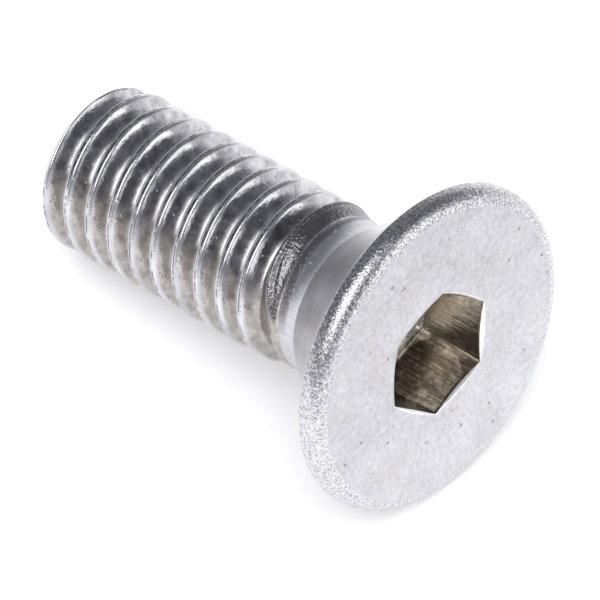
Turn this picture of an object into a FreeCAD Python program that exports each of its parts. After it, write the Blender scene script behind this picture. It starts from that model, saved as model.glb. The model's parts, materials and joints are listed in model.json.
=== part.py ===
# Countersunk socket screw, one solid: a conical head with a hexagon socket on a rolled metric thread.
# In the body's own frame Z is the screw's axis, from the flat face of the head at zero to the tip.
# The finished screw lies on its side, on the edge of its head and on one crest of its thread.
import FreeCAD, Part
import math
import os

import Sketcher

NODE = "socket_screw"

# Driving sizes, in millimetres and degrees.
SIZES = {
    # Head: a flat face, a rounded rim, a short upright land and the cone that seats in the work.
    # The cone is a little hollow: its angle is measured from end to end, and its hollow in the middle.
    "head_diameter": 11.5,
    "rim_rounding": 0.53,
    "rim_land": 0.22,
    "cone_angle": 86.6,
    "cone_hollow": 0.17,
    # Hexagon socket: the lip is how far the mouth's countersink reaches past the flats.
    "across_flats": 4.02,
    "socket_depth": 2.6,
    "socket_turn": 12.9,
    "mouth_lip": 0.08,
    "mouth_angle": 60,
    # Neck: the blank as it was before rolling, thinner than the thread. A short taper thickens it by the
    # crease's rise where the cone begins, and a shoulder thickens it to the thread.
    "neck_relief": 0.225,
    "crease_rise": 0.08,
    "neck_taper": 0.5,
    "neck_length": 0.25,
    "shoulder_length": 0.95,
    # Tip: the bevel, and a shallow dish that rolling leaves inside a flat ring.
    "screw_length": 15.7,
    "tip_bevel_depth": 0.395,
    "tip_bevel_length": 0.4,
    "tip_ring_width": 0.33,
    "tip_dish_depth": 0.12,
    # Thread: the groove between the crests. It is full from a little way past the shoulder, and towards
    # the head it rises out of the metal over the turns of its run-out.
    "thread_diameter": 5.85,
    "thread_pitch": 1.0,
    "thread_angle": 60,
    "crest_width": 0.2,
    "root_width": 0.14,
    "first_groove": 0.367,
    "runout_turns": 1.2,
    # Lying: how far the screw is turned about its axis from having the start of its full groove on top.
    "resting_turn": 2.5,
}

# Two places closer than this are one, and a cutting outline reaches this far past the metal, in millimetres.
SAME_PLACE = 1e-4
OVERCUT = 0.04

FLATS = 6

# Formulas that several features share, in terms of the driving sizes.
HEAD_RADIUS = "(Sizes.head_diameter / 2)"
THREAD_RADIUS = "(Sizes.thread_diameter / 2)"
NECK_RADIUS = f"({THREAD_RADIUS} - Sizes.neck_relief)"
RIM_HEIGHT = "(Sizes.rim_rounding + Sizes.rim_land)"
CREASE_RADIUS = f"({NECK_RADIUS} + Sizes.crease_rise)"
CONE_WIDTH = f"({HEAD_RADIUS} - {CREASE_RADIUS})"
CONE_END = f"({RIM_HEIGHT} + {CONE_WIDTH} / tan(Sizes.cone_angle * 1 deg / 2))"
TAPER_END = f"({CONE_END} + Sizes.neck_taper)"
NECK_END = f"({TAPER_END} + Sizes.neck_length)"
SHOULDER_END = f"({NECK_END} + Sizes.shoulder_length)"
THREAD_START = f"({SHOULDER_END} + Sizes.first_groove)"
BEVEL_START = "(Sizes.screw_length - Sizes.tip_bevel_length)"


def make_sheet(doc):
    """The spreadsheet of driving sizes, one named cell each."""
    sheet = doc.addObject("Spreadsheet::Sheet", "Sizes")
    for row, (name, value) in enumerate(SIZES.items(), start=1):
        sheet.set(f"A{row}", name)
        sheet.set(f"B{row}", str(value))
        sheet.setAlias(f"B{row}", name)
    doc.recompute()


def value_of(thing, formula):
    """What a formula comes to, as a plain number."""
    result = thing.evalExpression(formula)
    return float(getattr(result, "Value", result))


def new_sketch(body, name, role):
    """An empty sketch on one of the body's own origin planes."""
    sketch = body.newObject("Sketcher::SketchObject", name)
    plane = next(part for part in body.Origin.OriginFeatures if part.Role == role)
    sketch.AttachmentSupport = [(plane, "")]
    sketch.MapMode = "FlatFace"
    return sketch


def hold(sketch, edge, kind, formula):
    """Hold the start of a sketch edge at the distance from the sketch's origin that a formula gives."""
    place = value_of(sketch, formula)
    if abs(place) < SAME_PLACE:
        axis = {"DistanceX": -2, "DistanceY": -1}[kind]
        sketch.addConstraint(Sketcher.Constraint("PointOnObject", edge, 1, axis))
        return
    constraint = sketch.addConstraint(Sketcher.Constraint(kind, -1, 1, edge, 1, place))
    sketch.setExpression(f"Constraints[{constraint}]", formula)


def arc_between(start, finish, radius):
    """The shorter arc of a radius that turns left from one point of a sketch to another."""
    chord = finish - start
    left = FreeCAD.Vector(-chord.y, chord.x, 0).normalize()
    centre = (start + finish) / 2 + left * math.sqrt(radius ** 2 - chord.Length ** 2 / 4)
    first, last = (math.atan2(point.y - centre.y, point.x - centre.x) for point in (start, finish))
    return Part.ArcOfCircle(Part.Circle(centre, FreeCAD.Vector(0, 0, 1), radius), first, last)


def draw_outline(sketch, corners, hollows=None):
    """A closed outline. Each corner is a pair of formulas, and is held where they say.

    Its edges are straight, apart from those that hollows gives a radius for, by the number of the corner
    that they start at. Such an edge turns left, so an outline that runs clockwise is hollow there.
    """
    radii = hollows or {}
    places = [FreeCAD.Vector(value_of(sketch, x), value_of(sketch, y), 0) for x, y in corners]
    for edge, (start, finish) in enumerate(zip(places, places[1:] + places[:1])):
        if edge in radii:
            sketch.addGeometry(arc_between(start, finish, value_of(sketch, radii[edge])))
        else:
            sketch.addGeometry(Part.LineSegment(start, finish))
    for edge, (x, y) in enumerate(corners):
        following = (edge + 1) % len(corners)
        sketch.addConstraint(Sketcher.Constraint("Coincident", edge, 2, following, 1))
        hold(sketch, edge, "DistanceX", x)
        hold(sketch, edge, "DistanceY", y)
    for edge, radius in radii.items():
        constraint = sketch.addConstraint(Sketcher.Constraint("Radius", edge, value_of(sketch, radius)))
        sketch.setExpression(f"Constraints[{constraint}]", radius)


def turn_about_axis(body, kind, name, sketch):
    """Revolve a sketch once round the screw's axis, to add metal or to cut it away."""
    feature = body.newObject(kind, name)
    feature.Profile = sketch
    feature.ReferenceAxis = (sketch, ["V_Axis"])
    feature.Angle = 360
    body.Document.recompute()
    return feature


def must_cut(feature):
    """Stop if a cutting feature took nothing away from the solid before it."""
    if feature.Shape.Volume > feature.BaseFeature.Shape.Volume - SAME_PLACE:
        raise RuntimeError(f"{feature.Label} cuts nothing")


def is_ring(edge, radius, height):
    """Whether an edge is a circle about the axis, of that radius and at that height."""
    level = all(abs(point.Z - height) < SAME_PLACE for point in edge.Vertexes)
    return level and all(abs(math.hypot(point.X, point.Y) - radius) < SAME_PLACE for point in edge.Vertexes)


def turn_blank(body):
    """The blank before its thread is rolled: head, neck, shoulder and a plain shank with a bevelled tip."""
    tip_radius = f"({THREAD_RADIUS} - Sizes.tip_bevel_depth)"
    half_cone = f"({CONE_WIDTH} / sin(Sizes.cone_angle * 1 deg / 2) / 2)"
    cone_radius = f"(({half_cone} ^ 2 + Sizes.cone_hollow ^ 2) / (2 * Sizes.cone_hollow))"
    sketch = new_sketch(body, "blank_outline", "XZ_Plane")
    corners = [
        ("0", "0"),
        ("0", "Sizes.screw_length - Sizes.tip_dish_depth"),
        (f"{tip_radius} - Sizes.tip_ring_width", "Sizes.screw_length"),
        (tip_radius, "Sizes.screw_length"),
        (THREAD_RADIUS, BEVEL_START),
        (THREAD_RADIUS, SHOULDER_END),
        (NECK_RADIUS, NECK_END),
        (NECK_RADIUS, TAPER_END),
        (CREASE_RADIUS, CONE_END),
        (HEAD_RADIUS, RIM_HEIGHT),
        (HEAD_RADIUS, "0"),
    ]
    cone_edge = corners.index((CREASE_RADIUS, CONE_END))
    draw_outline(sketch, corners, {cone_edge: cone_radius})
    turn_about_axis(body, "PartDesign::Revolution", "blank", sketch)


def round_rim(body):
    """The rounding between the face and the rim's land."""
    blank = body.Tip
    radius = value_of(body, HEAD_RADIUS)
    edges = enumerate(blank.Shape.Edges, start=1)
    fillet = body.newObject("PartDesign::Fillet", "rim_fillet")
    fillet.Base = (blank, [f"Edge{number}" for number, edge in edges if is_ring(edge, radius, 0)])
    fillet.setExpression("Radius", "Sizes.rim_rounding")
    body.Document.recompute()


def sink_socket(body):
    """The hexagon socket, flat at its floor as the punch leaves it."""
    corner_radius = f"(Sizes.across_flats / 2 / cos(180 deg / {FLATS}))"
    turns = [f"(Sizes.socket_turn * 1 deg + {corner} * 360 deg / {FLATS})" for corner in range(FLATS)]
    sketch = new_sketch(body, "socket_outline", "XY_Plane")
    draw_outline(sketch, [(f"{corner_radius} * cos{turn}", f"{corner_radius} * sin{turn}") for turn in turns])
    socket = body.newObject("PartDesign::Pocket", "socket")
    socket.Profile = sketch
    socket.Reversed = True
    socket.setExpression("Length", "Sizes.socket_depth")
    body.Document.recompute()
    must_cut(socket)


def open_mouth(body):
    """The countersink round the socket's mouth, which ends well inside the flats."""
    slope = "tan(Sizes.mouth_angle * 1 deg / 2)"
    mouth_radius = "(Sizes.across_flats / 2 + Sizes.mouth_lip)"
    inner_radius = "(Sizes.across_flats / 4)"
    depth = f"({mouth_radius} - {inner_radius}) / {slope}"
    sketch = new_sketch(body, "mouth_outline", "XZ_Plane")
    corners = [
        ("0", f"-{OVERCUT}"),
        (f"{mouth_radius} + {OVERCUT} * {slope}", f"-{OVERCUT}"),
        (inner_radius, depth),
        ("0", depth),
    ]
    draw_outline(sketch, corners)
    must_cut(turn_about_axis(body, "PartDesign::Groove", "socket_mouth", sketch))


def new_helix(body, name, sketch, mode):
    """A cutting sweep of a sketch along a right-hand helix about the screw's axis."""
    helix = body.newObject("PartDesign::SubtractiveHelix", name)
    helix.Profile = sketch
    helix.ReferenceAxis = (sketch, ["V_Axis"])
    helix.Mode = mode
    return helix


def roll_thread(body):
    """The helical groove: its run-out into the neck first, then the full groove on past the tip."""
    flank = "tan(Sizes.thread_angle * 1 deg / 2)"
    half_gap = "((Sizes.thread_pitch - Sizes.crest_width) / 2)"
    half_root = "(Sizes.root_width / 2)"
    groove_depth = f"(({half_gap} - {half_root}) / {flank})"
    half_outer = f"({half_gap} + {OVERCUT} * {flank})"
    root_radius = f"({THREAD_RADIUS} - {groove_depth})"
    outer_radius = f"{THREAD_RADIUS} + {OVERCUT}"
    sketch = new_sketch(body, "groove_outline", "XZ_Plane")
    corners = [
        (root_radius, f"{THREAD_START} - {half_root}"),
        (outer_radius, f"{THREAD_START} - {half_outer}"),
        (outer_radius, f"{THREAD_START} + {half_outer}"),
        (root_radius, f"{THREAD_START} + {half_root}"),
    ]
    draw_outline(sketch, corners)

    runout = new_helix(body, "runout", sketch, "height-turns-growth")
    runout.Reversed = True
    runout.setExpression("Turns", "Sizes.runout_turns")
    runout.setExpression("Height", "Sizes.thread_pitch * Sizes.runout_turns")
    runout.setExpression("Growth", f"({NECK_RADIUS} + {OVERCUT} - {root_radius}) / Sizes.runout_turns")
    body.Document.recompute()
    must_cut(runout)

    thread = new_helix(body, "thread", sketch, "pitch-height-angle")
    thread.setExpression("Pitch", "Sizes.thread_pitch")
    thread.setExpression("Height", f"Sizes.screw_length - {THREAD_START} + Sizes.thread_pitch")
    body.Document.recompute()
    must_cut(thread)


def lay_down(body):
    """Lay the screw on its side with the tip towards -X, and centre its box over the origin, on the ground.

    The side that faces down is half a turn from where the full groove starts, less the resting turn, so its
    crests are whole pitches from there, less that share of one. The last before the bevel is on the ground.
    """
    turned = "Sizes.thread_pitch * Sizes.resting_turn / 360"
    crests = math.floor(value_of(body, f"({BEVEL_START} - {THREAD_START} + {turned}) / Sizes.thread_pitch"))
    crest = f"{THREAD_START} + {crests} * Sizes.thread_pitch - {turned}"
    length = value_of(body, f"{crest} + Sizes.crest_width / 2 - {RIM_HEIGHT}")
    fall = value_of(body, f"{HEAD_RADIUS} - {THREAD_RADIUS}")
    lying = FreeCAD.Rotation(FreeCAD.Vector(0, 1, 0), -90 - math.degrees(math.atan2(fall, length)))
    turn = FreeCAD.Rotation(FreeCAD.Vector(0, 0, 1), value_of(body, "Sizes.resting_turn"))
    body.Placement = FreeCAD.Placement(FreeCAD.Vector(), lying * turn)
    body.Document.recompute()
    box = body.Shape.optimalBoundingBox()
    body.Placement.Base = FreeCAD.Vector(-box.Center.x, -box.Center.y, -box.ZMin)
    body.Document.recompute()


def check(doc, body):
    """Stop unless every object is sound and the screw is one valid solid."""
    for thing in doc.Objects:
        if {"Invalid", "Error"} & set(thing.State):
            raise RuntimeError(f"{thing.Label} failed: {thing.State}")
    shape = body.Shape
    if shape.isNull() or not shape.isValid() or len(shape.Solids) != 1:
        raise RuntimeError(f"{body.Label} is not one valid solid")


def main():
    doc = FreeCAD.newDocument("screw")
    make_sheet(doc)
    body = doc.addObject("PartDesign::Body", "Screw")
    body.Label = NODE
    turn_blank(body)
    round_rim(body)
    sink_socket(body)
    open_mouth(body)
    roll_thread(body)
    lay_down(body)
    check(doc, body)
    os.makedirs("parts", exist_ok=True)
    body.Shape.exportStep(f"parts/{body.Label}.step")
    print(f"{body.Label}: {body.Shape.Volume:.2f} cubic millimetres")


main()
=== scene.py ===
"""A countersunk socket screw on a pale floor: its skin, its steel, the light and the camera."""

import json
import math

import bpy
import numpy as np
from mathutils import Matrix, Vector


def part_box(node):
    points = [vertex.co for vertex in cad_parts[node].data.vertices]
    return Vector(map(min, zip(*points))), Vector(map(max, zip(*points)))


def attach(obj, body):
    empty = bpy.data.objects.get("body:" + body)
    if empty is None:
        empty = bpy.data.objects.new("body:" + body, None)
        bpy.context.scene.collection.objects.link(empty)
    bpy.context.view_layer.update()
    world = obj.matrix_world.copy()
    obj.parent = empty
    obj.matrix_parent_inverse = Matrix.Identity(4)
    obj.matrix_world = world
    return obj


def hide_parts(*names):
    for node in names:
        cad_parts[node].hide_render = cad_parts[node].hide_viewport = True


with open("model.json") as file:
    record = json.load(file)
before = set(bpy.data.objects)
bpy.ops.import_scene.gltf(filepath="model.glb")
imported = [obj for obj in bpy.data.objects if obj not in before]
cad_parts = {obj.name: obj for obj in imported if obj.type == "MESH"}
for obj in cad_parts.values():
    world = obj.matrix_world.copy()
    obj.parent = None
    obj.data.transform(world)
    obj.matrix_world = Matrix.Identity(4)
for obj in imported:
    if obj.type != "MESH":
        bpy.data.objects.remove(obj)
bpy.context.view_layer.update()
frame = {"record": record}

NODE = "socket_screw"
MM = 0.001

# The skin is made this much smaller than the CAD solid, so that it stays inside the solid's box.
SKIN_SCALE = 0.9999

# Sizes in millimetres, measured along the screw's axis from the head's face.
RIM_ROUNDING = 0.53
RIM_LAND = 0.22
CONE_END = 3.902
CONE_HOLLOW = 0.17
CREASE_RISE = 0.08
NECK_RELIEF = 0.225
NECK_TAPER = 0.5
BEVEL_LENGTH = 0.4
BEVEL_DEPTH = 0.395
TIP_RING_WIDTH = 0.33
TIP_DISH_DEPTH = 0.12

# The socket. Its mouth is bevelled most in the middle of each flat, and not at the corners.
FLATS = 6
ACROSS_FLATS = 4.02
SOCKET_DEPTH = 2.6
SOCKET_TURN = math.radians(15.4)
SOCKET_CORNER_ROUNDING = 0.1
SOCKET_FLOOR_ROUNDING = 0.1
MOUTH_LIP = 0.1
MOUTH_DEPTH = 0.09
MOUTH_EDGE = 0.015

# The thread. Rolling raises a lip on both sides of a groove. Two lips that meet leave a seam on
# the crest between them, and the grooves get shallower over the bevel at the tip.
PITCH = 1.0
FLANK_SLOPE = math.tan(math.radians(30))
ROOT_WIDTH = 0.14
LEAST_ROOT_BLEND = 0.01
ROOT_BLEND_SHARE = 0.35
LIP_WIDTH = 0.08
LIP_FALL = 0.16
LIP_BLEND = 0.08
BEVEL_BLEND = 0.03
BEVEL_FILL_SHARE = 0.8

# How a groove grows out of the neck. A row is a place along the groove, in turns from where it is
# full, then in millimetres how far its edges are from its middle, on the head's side and on the
# tip's, how high the lips rise over the neck there, and how deep the root is under the neck.
ALONG, HEAD_EDGE, TIP_EDGE, HEAD_LIFT, TIP_LIFT, DROP = np.array((
    (-1.25, 0.05, 0.03, 0.000, 0.000, 0.000),
    (-1.17, 0.12, 0.06, 0.020, 0.020, 0.005),
    (-1.07, 0.15, 0.36, 0.025, 0.120, 0.020),
    (-1.00, 0.15, 0.37, 0.030, 0.150, 0.040),
    (-0.75, 0.20, 0.38, 0.030, 0.200, 0.100),
    (-0.50, 0.35, 0.39, 0.040, 0.225, 0.170),
    (-0.35, 0.70, 0.40, 0.050, 0.225, 0.220),
    (-0.23, 0.85, 0.40, 0.060, 0.225, 0.260),
    (-0.18, 0.63, 0.40, 0.130, 0.225, 0.280),
    (-0.13, 0.41, 0.40, 0.200, 0.225, 0.295),
    (-0.09, 0.35, 0.40, 0.225, 0.225, 0.310),
    (0.00, 0.33, 0.40, 0.225, 0.225, 0.330),
    (0.25, 0.38, 0.40, 0.225, 0.225, 0.346),
    (0.50, 0.40, 0.40, 0.225, 0.225, 0.346),
)).T
HEAD_SIDE = (HEAD_EDGE, HEAD_LIFT)
TIP_SIDE = (TIP_EDGE, TIP_LIFT)

# A groove starts at the second row. Before it, over this many turns, its walls rise by this much,
# until they are clear of the neck.
CLOSING_TURNS = 0.1
CLOSING_RISE = 0.2

# The mesh. The thread's rows lie closest on the lips: these are half of a pitch's, in pitches
# from the groove's middle. The first rows lie this many pitches before the full groove.
COLUMNS = 192
ANGLES = np.arange(COLUMNS) * math.tau / COLUMNS
HALF_ROWS = np.array((
    0, 0.03, 0.06, 0.085, 0.11, 0.14, 0.175, 0.21, 0.25, 0.29,
    0.325, 0.355, 0.38, 0.4, 0.42, 0.44, 0.46, 0.48, 0.5))
PITCHES_BEFORE = 3

# The studio. The floor's glow tops up the light that it takes, until it reads as white.
FLOOR_HALF_WIDTH = 0.6
FLOOR_COLOUR = (0.88, 0.88, 0.89)
FLOOR_GLOW = 0.2
HORIZON_COLOUR = (0.8, 0.8, 0.83)
OVERHEAD_COLOUR = (0.24, 0.245, 0.27)
HORIZON_HEIGHTS = (0.05, 0.4)

# Softboxes: azimuth and elevation in degrees, distance, width and height in metres, and how
# bright they look. The floor light stands overhead, and the steel doesn't mirror it.
SOFTBOXES = {
    "key_light": (22, 56, 0.4, 0.32, 0.36, 2.7),
    "side_light": (118, 22, 0.4, 0.26, 0.26, 1.5),
}
FLOOR_LIGHT = (0, 90, 0.5, 1.2, 1.2, 0.9)

# The camera: its lens and sensor in millimetres, its azimuth and elevation in degrees, the place
# that it looks at in millimetres, and how far away it stands, in metres.
CAMERA_LENS = 701.29
CAMERA_SENSOR = 36
CAMERA_AZIMUTH = 43.1
CAMERA_ELEVATION = 51.29
CAMERA_TARGET = (-0.08, 1.4224, 0.8763)
CAMERA_DISTANCE = 0.38595


def mount(name):
    """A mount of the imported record, by name."""
    return next(m for m in frame["record"]["mounts"] if m["name"] == name)


# The screw's own frame, with its axis from the face to the tip, and the sizes that it gives.
THREAD = mount("thread")
AXIS = Vector(THREAD["axis"]).normalized()
SIDE = Vector((0, 1, 0))
UP = SIDE.cross(AXIS)
TURN = Matrix((UP, SIDE, AXIS)).transposed()
TO_FACE = Vector(THREAD["pos_m"]) - Vector(mount("head_face")["pos_m"])
FACE_CENTRE = Vector(THREAD["pos_m"]) - AXIS * TO_FACE.dot(AXIS)

LOW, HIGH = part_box(NODE)
HEAD_RADIUS = (HIGH.y - LOW.y) / 2 / MM
THREAD_RADIUS = THREAD["dims"]["r_mm"]
NECK_RADIUS = THREAD_RADIUS - NECK_RELIEF
CREASE_RADIUS = NECK_RADIUS + CREASE_RISE
ROOT_RADIUS = NECK_RADIUS - DROP[-1]
TIP_RADIUS = THREAD_RADIUS - BEVEL_DEPTH
RIM_START = HEAD_RADIUS - RIM_ROUNDING
RIM_HEIGHT = RIM_ROUNDING + RIM_LAND
TAPER_END = CONE_END + NECK_TAPER
THREAD_START = TO_FACE.dot(AXIS) / MM - THREAD["dims"]["length_mm"] / 2
BEVEL_START = THREAD_START + THREAD["dims"]["length_mm"]
TIP = BEVEL_START + BEVEL_LENGTH


def smooth_step(x):
    """From 0 to 1 as x goes from 0 to 1, level at both ends."""
    t = np.clip(x, 0, 1)
    return t * t * (3 - 2 * t)


def smooth_least(a, b, blend):
    """The lesser of two heights, rounded over where they cross."""
    t = np.clip(0.5 + (b - a) / (2 * blend), 0, 1)
    return b * (1 - t) + a * t - blend * t * (1 - t)


def groove_middle(angle):
    """The height of the middle of the groove's first full turn, at an angle round the screw."""
    return THREAD_START + PITCH * angle / math.tau


def groove_side(along, distance, side):
    """One side of a groove, at a distance from its middle: its wall's radius, its lip's height."""
    edge, lift, drop = (np.interp(along, ALONG, column) for column in (*side, DROP))
    half_root = np.minimum(ROOT_WIDTH, edge) / 2
    slope = np.where(distance < edge, (lift + drop) / (edge - half_root), 1 / FLANK_SLOPE)
    wall = NECK_RADIUS + lift + (distance - edge) * slope
    root_blend = LEAST_ROOT_BLEND + ROOT_BLEND_SHARE * (lift + drop)
    wall = -smooth_least(-wall, drop - NECK_RADIUS, root_blend)
    closing = CLOSING_RISE * smooth_step((ALONG[1] - along) / CLOSING_TURNS)
    lip = lift * np.exp(-(np.maximum(distance - edge - LIP_WIDTH, 0) / LIP_FALL) ** 2)
    return wall + closing, lip


def thread_radius(angle, z):
    """The radius of the threaded surface, with its grooves, its run-out and the tip's bevel."""
    turns = (z - groove_middle(angle)) / PITCH
    groove = np.floor(turns)
    past = (turns - groove) * PITCH
    along = groove + angle / math.tau
    wall, lip = groove_side(along, past, TIP_SIDE)
    next_wall, next_lip = groove_side(along + 1, PITCH - past, HEAD_SIDE)
    radius = smooth_least(NECK_RADIUS + np.maximum(lip, next_lip), wall, LIP_BLEND)
    radius = smooth_least(radius, next_wall, LIP_BLEND)
    shown = 1 - BEVEL_FILL_SHARE * smooth_step((z - BEVEL_START) / BEVEL_LENGTH)
    bevel = THREAD_RADIUS - (z - BEVEL_START) * BEVEL_DEPTH / BEVEL_LENGTH
    return smooth_least(THREAD_RADIUS - (THREAD_RADIUS - radius) * shown, bevel, BEVEL_BLEND)


class Skin:
    """A mesh that grows ring by ring, in millimetres, in the screw's own frame."""

    def __init__(self):
        self.places = []
        self.faces = []
        self.kinds = []

    def ring(self, radii, angles, z):
        """Add one vertex a column. Returns their indices."""
        radii, angles, z = np.broadcast_arrays(radii, angles, z)
        first = len(self.places)
        self.places.extend(zip(radii * np.cos(angles), radii * np.sin(angles), z))
        return np.arange(first, first + len(radii))

    def add(self, corners, kind):
        """One face, without corners that repeat. Fewer than three are no face."""
        kept = [c for n, c in enumerate(corners) if c != corners[n - 1]]
        if len(set(kept)) >= 3:
            self.faces.append([int(c) for c in kept])
            self.kinds.append(kind)

    def bridge(self, above, below, kind):
        """Quads between two rings of as many vertices, the first nearer to the head's face."""
        for here, there in zip(range(len(above)), np.roll(range(len(above)), -1)):
            self.add([above[here], above[there], below[there], below[here]], kind)

    def inwards(self, outer, kind, rings):
        """Bridge from a ring to one inside it, and so on. Returns the last.

        Each ring is its radii, its angles and its height.
        """
        for ring in rings:
            inner = self.ring(*ring)
            self.bridge(inner, outer, kind)
            outer = inner
        return outer

    def fan(self, ring, z, kind):
        """Close a ring with triangles to a point on the axis."""
        self.places.append((0, 0, z))
        middle = len(self.places) - 1
        for here, there in zip(ring, np.roll(ring, -1)):
            self.add([here, there, middle], kind)


def add_head(skin):
    """The rim, the hollow cone and the neck's taper. Returns the first and last rings."""
    rim = [(RIM_START + RIM_ROUNDING * math.sin(a), RIM_ROUNDING * (1 - math.cos(a)))
           for a in np.radians(np.linspace(0, 90, 13))]
    land = [(HEAD_RADIUS, RIM_ROUNDING + RIM_LAND * share) for share in (0.35, 0.7, 0.94)]
    across = CREASE_RADIUS - HEAD_RADIUS
    down = CONE_END - RIM_HEIGHT
    chord = math.hypot(across, down)
    cone = []
    for share in (0.004, 0.015, 0.05, *np.linspace(0.1, 0.95, 18), 0.985, 0.997, 1):
        hollow = 4 * CONE_HOLLOW * share * (1 - share) / chord
        radius = HEAD_RADIUS + across * share - down * hollow
        cone.append((radius, RIM_HEIGHT + down * share + across * hollow))
    taper = [(NECK_RADIUS + CREASE_RISE * (1 - share) ** 2, CONE_END + NECK_TAPER * share)
             for share in (0.02, 0.1, 0.25, 0.45, 0.65, 0.85, 1)]
    kinds = ["rim"] * (len(rim) + len(land)) + ["cone"] * len(cone) + ["thread"] * len(taper)
    rings = [skin.ring(r, ANGLES, z) for r, z in rim + land + cone + taper]
    for above, below, kind in zip(rings, rings[1:], kinds[1:]):
        skin.bridge(above, below, kind)
    return rings[0], rings[-1]


def add_thread(skin, top):
    """The thread, in rows that follow the helix. Those past the neck or the tip end level there.

    Returns the ring at the tip.
    """
    rows = np.concatenate([-HALF_ROWS[:0:-1], HALF_ROWS[:-1]]) * PITCH
    per_pitch = len(rows)
    pitches = np.arange(int(math.ceil((TIP - TAPER_END) / PITCH)) + PITCHES_BEFORE)
    offsets = (pitches[:, None] * PITCH + rows[None, :]).ravel() - PITCHES_BEFORE * PITCH
    indices = np.empty((COLUMNS, len(offsets)), int)
    for column, angle in enumerate(ANGLES):
        z = groove_middle(angle) + offsets
        inside = (z > TAPER_END) & (z < TIP)
        z_kept = np.append(z[inside], TIP)
        made = skin.ring(thread_radius(angle, z_kept), angle, z_kept)
        indices[column] = made[-1]
        indices[column][z <= TAPER_END] = top[column]
        indices[column][inside] = made[:-1]
    for column in range(COLUMNS):
        here = indices[column]
        there = indices[(column + 1) % COLUMNS]
        if column == COLUMNS - 1:
            there = np.concatenate([there[per_pitch:], np.full(per_pitch, there[-1])])
        for row in range(len(offsets) - 1):
            skin.add([here[row], there[row], there[row + 1], here[row + 1]], "thread")
    return indices[:, -1]


def add_tip(skin, edge):
    """The flat ring at the tip and the shallow dish inside it."""
    ring_inside = TIP_RADIUS - TIP_RING_WIDTH
    inner = skin.ring(ring_inside, ANGLES, TIP)
    skin.bridge(edge, inner, "cone")
    for share in (0.92, 0.8, 0.65, 0.5, 0.35, 0.2):
        dish = skin.ring(ring_inside * share, ANGLES, TIP - TIP_DISH_DEPTH * (1 - share ** 2))
        skin.bridge(inner, dish, "cone")
        inner = dish
    skin.fan(inner, TIP - TIP_DISH_DEPTH, "cone")


def hexagon_outline():
    """The socket's outline from a corner on, and how open its mouth is, 0 at the corners to 1.

    Both have one entry a column.
    """
    apothem = ACROSS_FLATS / 2
    rounding = SOCKET_CORNER_ROUNDING
    straight = (apothem - rounding) / math.sqrt(3)
    corner_steps = 4
    middle_steps = COLUMNS // FLATS - 2 * corner_steps
    along = straight * np.sin(np.linspace(-math.pi / 2, math.pi / 2, middle_steps + 1))
    turn = np.radians(np.linspace(0, 180 / FLATS, corner_steps + 1)[1:])
    late = [(straight + rounding * math.sin(a), apothem - rounding * (1 - math.cos(a)))
            for a in turn]
    early = [(-x, y) for x, y in late[::-1]]
    side = early + [(x, apothem) for x in along] + late[:-1]
    points = []
    openness = []
    for flat in range(FLATS):
        angle = SOCKET_TURN + math.pi / FLATS + flat * math.tau / FLATS
        outward = np.array([math.cos(angle), math.sin(angle)])
        forward = np.array([-math.sin(angle), math.cos(angle)])
        points.extend(x * forward + y * outward for x, y in side)
        openness.extend(max(0, 1 - (x / straight) ** 2) for x, y in side)
    return np.array(points), np.array(openness)


def add_face(skin, rim_edge):
    """The flat face, the bevelled mouth and the socket."""
    outline, openness = hexagon_outline()
    shift = int(round(SOCKET_TURN / math.tau * COLUMNS))
    outline = np.roll(outline, shift, axis=0)
    openness = np.roll(openness, shift)
    radius = np.hypot(outline[:, 0], outline[:, 1])
    angle = np.unwrap(np.arctan2(outline[:, 1], outline[:, 0]))
    angle += math.tau * np.round((ANGLES - angle) / math.tau)
    lip = MOUTH_LIP * openness
    drop = MOUTH_DEPTH * openness
    mouth = radius + lip + MOUTH_EDGE
    across = mouth + MOUTH_EDGE - RIM_START
    ring = skin.inwards(rim_edge, "face", [
        (RIM_START + across * share, ANGLES + (angle - ANGLES) * share, 0)
        for share in (0.01, 0.05, 0.2, 0.4, 0.6, 0.8, 0.94, 1)])
    ring = skin.inwards(ring, "mouth", [
        (mouth - MOUTH_EDGE / 2 - lip * share, angle, MOUTH_EDGE / 2 + drop * share)
        for share in (0, 0.1, 0.5, 0.9)])
    start = drop + MOUTH_EDGE * 2
    rounding = SOCKET_FLOOR_ROUNDING
    deep = SOCKET_DEPTH - rounding
    ring = skin.inwards(ring, "socket", [
        (radius, angle, start + (deep - start) * share)
        for share in (0, 0.03, 0.2, 0.4, 0.6, 0.8, 0.95, 1)])
    ring = skin.inwards(ring, "socket", [
        (radius - rounding * (1 - math.cos(turn)), angle, deep + rounding * math.sin(turn))
        for turn in np.radians((22.5, 45, 67.5, 90))])
    ring = skin.inwards(ring, "socket", [
        ((radius - rounding) * share, angle, SOCKET_DEPTH) for share in (0.97, 0.8, 0.55, 0.3)])
    skin.fan(ring[::-1], SOCKET_DEPTH, "socket")


def add_object(name, data):
    """A new object in the scene."""
    thing = bpy.data.objects.new(name, data)
    bpy.context.scene.collection.objects.link(thing)
    return thing


def build_screw():
    """The screw's visible surface, as one closed mesh where the CAD node is."""
    skin = Skin()
    rim_edge, taper_end = add_head(skin)
    tip_edge = add_thread(skin, taper_end)
    add_tip(skin, tip_edge)
    add_face(skin, rim_edge)
    mesh = bpy.data.meshes.new("screw_skin")
    mesh.from_pydata([tuple(p) for p in skin.places], [], skin.faces)
    lying = Matrix.Translation(FACE_CENTRE) @ TURN.to_4x4()
    mesh.transform(lying @ Matrix.Scale(MM * SKIN_SCALE, 4))
    kinds = sorted(set(skin.kinds))
    mesh.polygons.foreach_set("material_index", [kinds.index(k) for k in skin.kinds])
    mesh.polygons.foreach_set("use_smooth", [True] * len(skin.faces))
    mesh.validate()
    for kind in kinds:
        mesh.materials.append(STEELS[kind]())
    return add_object("screw_skin", mesh)


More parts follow.
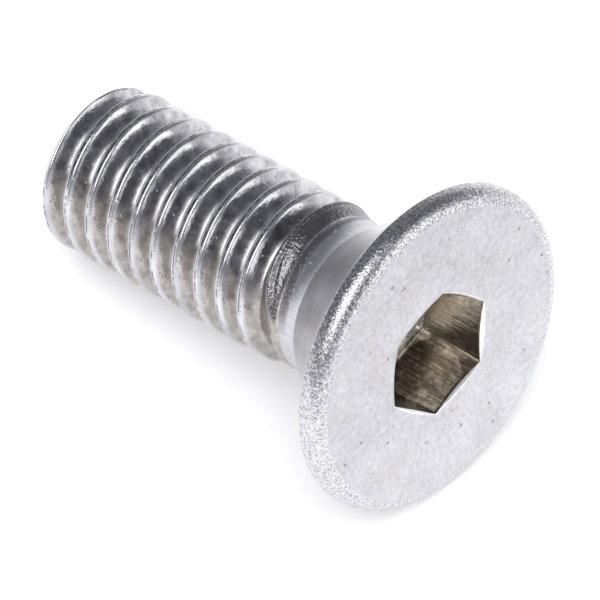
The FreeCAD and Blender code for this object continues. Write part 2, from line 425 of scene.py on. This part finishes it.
class Nodes:
    """A node tree, built one node a call. Inputs are set to values, or linked to other outputs."""

    def __init__(self, tree):
        self.tree = tree
        tree.nodes.clear()

    def add(self, kind, inputs=(), output=0, **settings):
        """A new node. Returns one of its outputs."""
        node = self.tree.nodes.new(kind)
        for name, value in settings.items():
            setattr(node, name, value)
        for name, value in dict(inputs).items():
            if isinstance(value, bpy.types.NodeSocket):
                self.tree.links.new(value, node.inputs[name])
            else:
                node.inputs[name].default_value = value
        return node.outputs[output] if node.outputs else None

    def math(self, operation, *values):
        """One operation of a Math node."""
        return self.add("ShaderNodeMath", dict(enumerate(values)), operation=operation)

    def product(self, first, second):
        """Two values multiplied. Of two masks, it is where both are."""
        return self.math("MULTIPLY", first, second)

    def total(self, *parts):
        """The sum of parts, each a number, a socket, or a pair of a socket and its factor."""
        result = 0.0
        for part in parts:
            if isinstance(part, tuple):
                result = self.math("MULTIPLY_ADD", *part, result)
            else:
                result = self.math("ADD", part, result)
        return result

    def ranged(self, value, low, high):
        """A value's stretch from low to high, spread smoothly from 0 to 1."""
        return self.add("ShaderNodeMapRange", {
            "Value": value, "From Min": low, "From Max": high,
        }, interpolation_type="SMOOTHSTEP")

    def mixed(self, factor, first, second):
        """A colour between two colours, each a socket or a tuple of red, green and blue."""
        first, second = ((*c, 1) if isinstance(c, tuple) else c for c in (first, second))
        inputs = {"Factor": factor, 6: first, 7: second}
        return self.add("ShaderNodeMix", inputs, output=2, data_type="RGBA")


class Steel(Nodes):
    """One finish of the steel.

    Its places are millimetres in the screw's own frame, with x up, y to the side and z along the
    axis from the face.
    """

    def __init__(self, name):
        self.material = bpy.data.materials.new(name)
        self.material.use_nodes = True
        super().__init__(self.material.node_tree)
        back = TURN.transposed()
        self.place = self.add("ShaderNodeMapping", {
            "Vector": self.add("ShaderNodeTexCoord", output="Object"),
            "Scale": (1 / MM, 1 / MM, 1 / MM),
            "Rotation": back.to_euler(),
            "Location": back @ FACE_CENTRE / -MM,
        })
        parts = self.add("ShaderNodeSeparateXYZ", {0: self.place})
        self.x, self.y, self.z = parts.node.outputs
        square = self.math("ADD", self.product(self.x, self.x), self.product(self.y, self.y))
        self.radius = self.math("SQRT", square)

    def stretched(self, x, y, z):
        """The place, scaled by a factor along each axis."""
        inputs = {0: self.place, 1: (x, y, z)}
        return self.add("ShaderNodeVectorMath", inputs, operation="MULTIPLY")

    def strokes(self, around, way, factor):
        """A place that changes fast round the axis and slowly along a way, z or the radius."""
        x = self.product(self.math("DIVIDE", self.x, self.radius), around)
        y = self.product(self.math("DIVIDE", self.y, self.radius), around)
        return self.add("ShaderNodeCombineXYZ", {0: x, 1: y, 2: self.product(way, factor)})

    def past_groove(self):
        """How far along the axis a place is past the full groove's middle, at its own angle."""
        angle = self.math("ARCTAN2", self.y, self.x)
        return self.total(self.z, -THREAD_START, (angle, -PITCH / math.tau))

    def noise(self, where, scale, detail=2.0, roughness=0.5):
        """Smooth noise about zero, from -1 to 1."""
        raw = self.add("ShaderNodeTexNoise", {
            "Vector": where, "Scale": scale, "Detail": detail, "Roughness": roughness,
        })
        return self.add("ShaderNodeMapRange", {
            "Value": raw, "From Min": 0.25, "From Max": 0.75, "To Min": -1.0, "To Max": 1.0,
        })

    def pits(self, scale, size, share):
        """Small round pits in a share of the cells of a grain: 1 inside a pit and 0 outside."""
        near = self.add("ShaderNodeTexVoronoi", {"Vector": self.place, "Scale": scale})
        chance = self.add("ShaderNodeSeparateColor", {0: near.node.outputs["Color"]})
        chosen = self.math("LESS_THAN", chance, share)
        return self.product(chosen, self.ranged(near, size, size * 0.4))

    def varied(self, noise, dark, pale):
        """A colour that follows a noise, from dark at -1 to pale at 1."""
        return self.mixed(self.ranged(noise, -1, 1), dark, pale)

    def stained(self, colour, mask, share, stain):
        """A colour, mixed with a share of a stain inside a mask."""
        return self.mixed(self.product(mask, share), colour, stain)

    def finish(self, colour, roughness, height):
        """Wire the shader. The height is in millimetres."""
        bump = self.add("ShaderNodeBump", {"Strength": 1.0, "Distance": MM, "Height": height})
        shader = self.add("ShaderNodeBsdfPrincipled", {
            "Base Color": colour, "Metallic": 1.0, "Roughness": roughness, "Normal": bump,
        })
        self.add("ShaderNodeOutputMaterial", {"Surface": shader})
        return self.material


def face_steel():
    """The satin face: pale, unevenly mottled, with faint spokes and a few brown-grey specks, and
    painted shade that makes it darker towards its top.
    """
    steel = Steel("face_steel")
    cloud = steel.noise(steel.place, 0.6, 3)
    mottle = steel.noise(steel.place, 5, 4, 0.7)
    grain = steel.noise(steel.place, 20, 2)
    spokes = steel.noise(steel.strokes(30, steel.radius, 2.5), 1, 2)
    brown = steel.ranged(steel.noise(steel.place, 0.9, 3), 0.1, 0.9)
    specks = steel.pits(2.2, 0.18, 0.3)
    # The x term is painted shade: the face is painted darker towards its top.
    pale = steel.total((cloud, 0.22), (mottle, 0.45), (spokes, 0.1), (steel.x, -0.045), 0.5)
    colour = steel.mixed(pale, (0.42, 0.41, 0.425), (0.68, 0.675, 0.70))
    colour = steel.stained(colour, brown, 0.35, (0.55, 0.51, 0.47))
    colour = steel.stained(colour, specks, 0.8, (0.22, 0.19, 0.175))
    height = steel.total((mottle, 0.008), (grain, 0.0012), (spokes, 0.0005), (specks, -0.02))
    return steel.finish(colour, steel.total((mottle, 0.05), 0.33), height)


def rim_steel():
    """The tumbled rim, finely dented all over, so that it sparkles, with painted shade that makes
    it darker on top.
    """
    steel = Steel("rim_steel")
    dents = steel.noise(steel.place, 13, 3, 0.6)
    broad = steel.noise(steel.place, 5, 2)
    pits = steel.pits(6, 0.24, 0.3)
    # Painted shade: the rim's colour is made darker towards its top.
    top_side_shading = steel.ranged(steel.x, 0, 3.5)
    tone = steel.ranged(steel.total(dents, (top_side_shading, -0.25)), -1.0, 0.4)
    colour = steel.mixed(tone, (0.24, 0.235, 0.25), (0.70, 0.695, 0.72))
    colour = steel.stained(colour, pits, 0.8, (0.09, 0.085, 0.095))
    height = steel.total((dents, 0.005), (broad, 0.005), (pits, -0.01))
    return steel.finish(colour, 0.12, height)


def cone_steel():
    """The satin cone and tip, with faint rings, and painted light that makes them paler on top."""
    steel = Steel("cone_steel")
    mottle = steel.noise(steel.place, 5, 3, 0.6)
    cloud = steel.noise(steel.place, 1.2, 2)
    rings = steel.noise(steel.stretched(0.4, 0.4, 9), 1.2, 2)
    # The x term is painted light: the cone is painted paler towards its top.
    pale = steel.total((mottle, 0.15), (cloud, 0.12), (rings, 0.1), (steel.x, 0.12), 0.2)
    colour = steel.mixed(pale, (0.34, 0.335, 0.345), (0.78, 0.775, 0.80))
    height = steel.total((mottle, 0.002), (rings, 0.001))
    return steel.finish(colour, 0.3, height)


def crest_seam_shade(steel, past):
    """Where painted shade darkens the seam along the middle of a crest, broken into beads."""
    from_seam = steel.math("ABSOLUTE", steel.math("SUBTRACT", steel.math("FRACT", past), 0.5))
    beads = steel.noise(steel.place, 5, 2)
    return steel.product(steel.ranged(from_seam, 0.045, 0.02), steel.ranged(beads, -0.5, 0.3))


def torn_places(steel, past):
    """Where rolling tore the steel by the run-out, on the screw's upper side."""
    by_seam = steel.product(steel.ranged(past, -1.5, -1.3), steel.ranged(past, -1.05, -1.15))
    by_lips = steel.product(steel.ranged(past, -1.02, -0.94), steel.ranged(past, 0, -0.15))
    upper = steel.ranged(steel.x, 0.2, 1.4)
    return steel.product(upper, steel.math("MAXIMUM", by_seam, by_lips))


def thread_steel():
    """The neck and the rolled thread: polished and torn by the run-out, with painted shade: the
    grooves are painted darker than the crests, and warmer and darker underneath.
    """
    steel = Steel("thread_steel")
    past = steel.past_groove()
    crest = steel.ranged(steel.radius, THREAD_RADIUS - 0.16, THREAD_RADIUS - 0.03)
    deep = steel.ranged(steel.radius, ROOT_RADIUS + 0.45, ROOT_RADIUS + 0.15)
    on_neck = steel.ranged(past, -1.0, -1.2)
    top_side_shading = steel.ranged(steel.x, 0.6, 2.4)
    torn = torn_places(steel, past)
    drawn = steel.noise(steel.strokes(2.5, past, 7), 1, 2)
    mottle = steel.noise(steel.place, 2.6, 3, 0.5)
    grain = steel.noise(steel.place, 9, 2)
    scratches = steel.noise(steel.strokes(70, steel.z, 1.5), 1, 2)
    pits = steel.pits(4.5, 0.24, 0.3)

    # Painted shade: both groove colours are darker than the crest's pale one, and the lower one,
    # warm, is darker still, by the top side's mask.
    groove_shade_below = steel.varied(mottle, (0.31, 0.29, 0.27), (0.52, 0.495, 0.465))
    groove_shade_above = steel.varied(mottle, (0.34, 0.337, 0.352), (0.64, 0.635, 0.655))
    pale = steel.varied(drawn, (0.48, 0.475, 0.505), (0.70, 0.695, 0.725))
    neck = steel.varied(scratches, (0.46, 0.455, 0.49), (0.62, 0.615, 0.65))
    colour = steel.mixed(crest, steel.mixed(top_side_shading, groove_shade_below, groove_shade_above), pale)
    # Painted shade: the crest's seam is painted dark.
    colour = steel.stained(colour, crest_seam_shade(steel, past), crest, (0.2, 0.195, 0.205))
    colour = steel.mixed(on_neck, colour, neck)
    colour = steel.stained(colour, torn, 0.8, (0.16, 0.155, 0.16))

    roughness = steel.total((mottle, 0.03), (crest, 0.04), (deep, 0.13), (on_neck, 0.12), 0.15)
    height = steel.total(
        (mottle, 0.0015), (drawn, 0.0012), (steel.product(scratches, on_neck), 0.0016),
        (grain, steel.total((torn, 0.007), 0.0014)), (pits, steel.total((torn, -0.008), -0.011)))
    return steel.finish(colour, roughness, height)


def mouth_steel():
    """The bevel round the socket's mouth, bright with a painted highlight: paler than the other
    steel.
    """
    steel = Steel("mouth_steel")
    grain = steel.noise(steel.place, 10, 2)
    # Painted highlight: the bevel's colour is paler than the rest of the steel.
    colour = steel.varied(grain, (0.74, 0.72, 0.7), (0.9, 0.89, 0.88))
    return steel.finish(colour, 0.3, steel.product(grain, 0.002))


def socket_steel():
    """The punched socket: bronze-tinted, marked along the punch's way, with painted shade on its
    lower flats and a dip in its floor.
    """
    steel = Steel("socket_steel")
    marks = steel.noise(steel.stretched(8, 8, 0.4), 1.4, 3, 0.6)
    mottle = steel.noise(steel.place, 4, 2)
    # Painted shade: the lower flats are painted darker.
    shaded_low_flats = steel.ranged(steel.x, -1.5, -1.8)
    tone = steel.total((marks, 0.28), (mottle, 0.25), (shaded_low_flats, -0.8), 0.9)
    colour = steel.mixed(tone, (0.19, 0.17, 0.145), (0.92, 0.87, 0.79))
    dip = steel.math("MINIMUM", steel.radius, ACROSS_FLATS / 2 - SOCKET_FLOOR_ROUNDING)
    height = steel.total((marks, 0.002), (mottle, 0.003), (dip, 0.36))
    return steel.finish(colour, 0.18, height)


STEELS = {
    "face": face_steel,
    "rim": rim_steel,
    "cone": cone_steel,
    "thread": thread_steel,
    "mouth": mouth_steel,
    "socket": socket_steel,
}


def build_floor():
    """A pale floor that takes the screw's shadow, and reads as white, in the steel too."""
    half = FLOOR_HALF_WIDTH
    corners = [(-half, -half, 0), (half, -half, 0), (half, half, 0), (-half, half, 0)]
    mesh = bpy.data.meshes.new("studio_floor")
    mesh.from_pydata(corners, [], [(0, 1, 2, 3)])
    material = bpy.data.materials.new("studio_floor")
    material.use_nodes = True
    nodes = Nodes(material.node_tree)
    seen = nodes.add("ShaderNodeLightPath")
    either = nodes.math("MAXIMUM", seen, seen.node.outputs["Is Glossy Ray"])
    either = nodes.math("MAXIMUM", either, seen.node.outputs["Is Transmission Ray"])
    diffuse = nodes.add("ShaderNodeBsdfDiffuse", {"Color": (*FLOOR_COLOUR, 1)})
    glow = nodes.add("ShaderNodeEmission", {"Strength": nodes.product(either, FLOOR_GLOW)})
    both = nodes.add("ShaderNodeAddShader", {0: diffuse, 1: glow})
    nodes.add("ShaderNodeOutputMaterial", {"Surface": both})
    mesh.materials.append(material)
    add_object("studio_floor", mesh)


def build_surroundings():
    """A dim studio over a pale horizon."""
    world = bpy.data.worlds.new("studio")
    world.use_nodes = True
    nodes = Nodes(world.node_tree)
    direction = nodes.add("ShaderNodeTexCoord", output="Generated")
    height = nodes.add("ShaderNodeSeparateXYZ", {0: direction}, output=2)
    upwards = nodes.ranged(height, *HORIZON_HEIGHTS)
    colour = nodes.mixed(upwards, HORIZON_COLOUR, OVERHEAD_COLOUR)
    background = nodes.add("ShaderNodeBackground", {"Color": colour, "Strength": 1.0})
    nodes.add("ShaderNodeOutputWorld", {"Surface": background})
    bpy.context.scene.world = world


def aim(thing, target, azimuth, elevation, distance):
    """Stand a lamp or the camera at a distance from a target, seen at those angles, to face it."""
    a = math.radians(azimuth)
    e = math.radians(elevation)
    back = Vector((math.sin(a) * math.cos(e), -math.cos(a) * math.cos(e), math.sin(e)))
    thing.location = target + back * distance
    thing.rotation_euler = back.to_track_quat("Z", "Y").to_euler()


def add_softbox(name, azimuth, elevation, distance, width, height, brightness):
    """A rectangular lamp that faces the screw."""
    light = bpy.data.lights.new(name, "AREA")
    light.shape = "RECTANGLE"
    light.size = width
    light.size_y = height
    light.energy = math.pi * width * height * brightness
    lamp = add_object(name, light)
    aim(lamp, Vector(), azimuth, elevation, distance)
    return lamp


def place_camera():
    """The photograph's long lens, looking down on the screw from its head's side."""
    data = bpy.data.cameras.new("photo_camera")
    data.lens = CAMERA_LENS
    data.sensor_width = CAMERA_SENSOR
    data.clip_start = 0.01
    data.clip_end = 10
    camera = add_object("photo_camera", data)
    aim(camera, Vector(CAMERA_TARGET) * MM, CAMERA_AZIMUTH, CAMERA_ELEVATION, CAMERA_DISTANCE)
    bpy.context.scene.camera = camera


screw = build_screw()
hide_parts(NODE)
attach(screw, "root")
build_floor()
build_surroundings()
for name, setup in SOFTBOXES.items():
    add_softbox(name, *setup)
add_softbox("floor_light", *FLOOR_LIGHT).visible_glossy = False
place_camera()
bpy.context.scene.view_settings.view_transform = "Standard"
